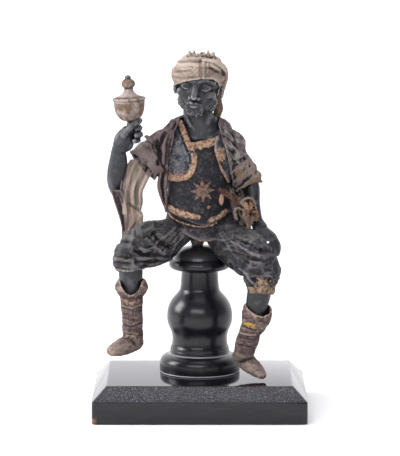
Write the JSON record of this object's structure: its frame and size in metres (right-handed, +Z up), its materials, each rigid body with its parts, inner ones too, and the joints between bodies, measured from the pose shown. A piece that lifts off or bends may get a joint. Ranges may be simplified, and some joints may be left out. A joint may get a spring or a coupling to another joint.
{
  "type": "nativity wise man figure",
  "caption": "Seated nativity wise man in a turban and open coat, raising a covered goblet, astride a turned pedestal on a bevelled plinth.",
  "frame": {"origin": "middle of the plinth's underside, on the surface that it stands on", "axes": "+Z up; -Y the way the plinth's front and the figure face; +X towards the figure's left, lowered hand"},
  "size_m": [0.21, 0.164, 0.357],
  "materials": {
    "ebonised_wood": "black polished, fine grain",
    "painted_wood": "blue-black paint, half gloss, rubbed grey",
    "worn_gilt_wood": "worn light brown gilding",
    "tunic_leather": "dark blue, crackled, gilt trims",
    "vest_leather": "dark, crackled, gilt borders",
    "coat_cloth": "grey-brown stiffened cloth, striped lining",
    "sash_cloth": "orange-brown worn cloth",
    "breeches_cloth": "dark grey worn cloth",
    "turban_cloth": "beige cloth with faint stripes",
    "boot_leather": "brown worn suede, gilt braid"
  },
  "bodies": {
    "root": {"plinth": "ebonised_wood", "pedestal": "ebonised_wood", "breeches": "breeches_cloth", "tunic": "tunic_leather", "vest": "vest_leather", "coat": "coat_cloth", "sash": "sash_cloth", "head": "painted_wood", "turban": "turban_cloth", "right_arm": "painted_wood", "left_arm": "painted_wood", "goblet": "worn_gilt_wood", "goblet_lid": "worn_gilt_wood", "right_calf": "painted_wood", "left_calf": "painted_wood", "right_boot": "boot_leather", "left_boot": "boot_leather"}
  },
  "joints": []
}
